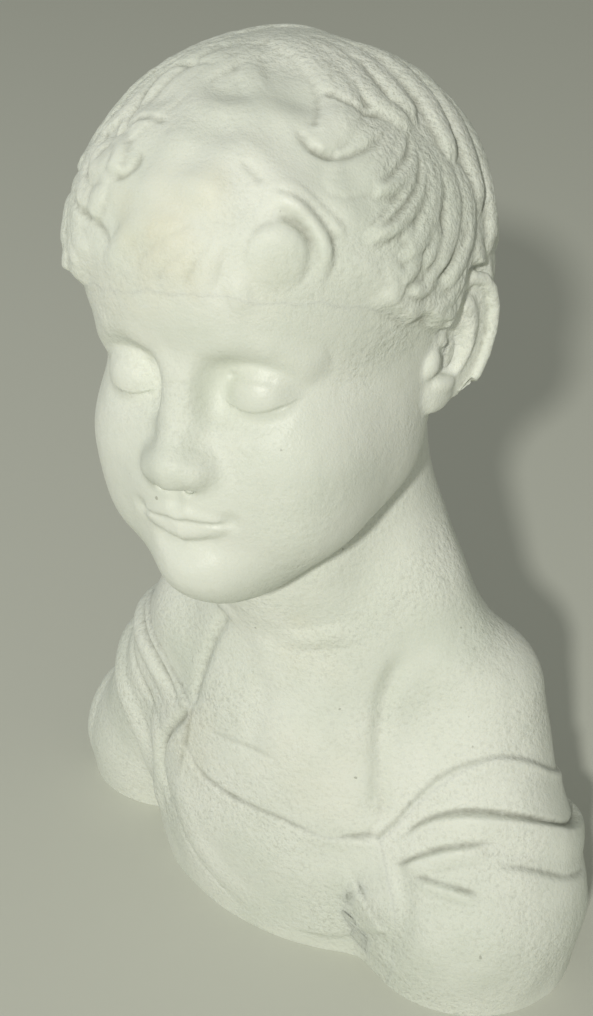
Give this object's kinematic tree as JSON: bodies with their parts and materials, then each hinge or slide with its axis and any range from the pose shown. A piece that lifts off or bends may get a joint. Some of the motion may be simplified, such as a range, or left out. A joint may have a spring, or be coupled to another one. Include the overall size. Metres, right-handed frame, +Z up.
{
  "type": "child bust",
  "caption": "Head-and-shoulders bust of a small child with short wavy hair and a slipped shift, cut flat at the base to stand by itself.",
  "frame": {"origin": "middle of the flat cut base", "axes": "+Z up, -Y the way the chest faces, +X the child's left"},
  "size_m": [0.2754, 0.1868, 0.3823],
  "materials": {
    "marble_smooth": "rubbed smooth",
    "marble_polished": "polished",
    "marble_tooled": "rasped and tooled"
  },
  "bodies": {
    "root": {"torso": "marble_smooth", "head": "marble_polished", "hair": "marble_tooled", "ear_left": "marble_polished", "ear_right": "marble_polished", "shift_front": "marble_tooled", "shift_back": "marble_tooled", "sleeve_left": "marble_smooth", "sleeve_right": "marble_smooth"}
  },
  "joints": []
}
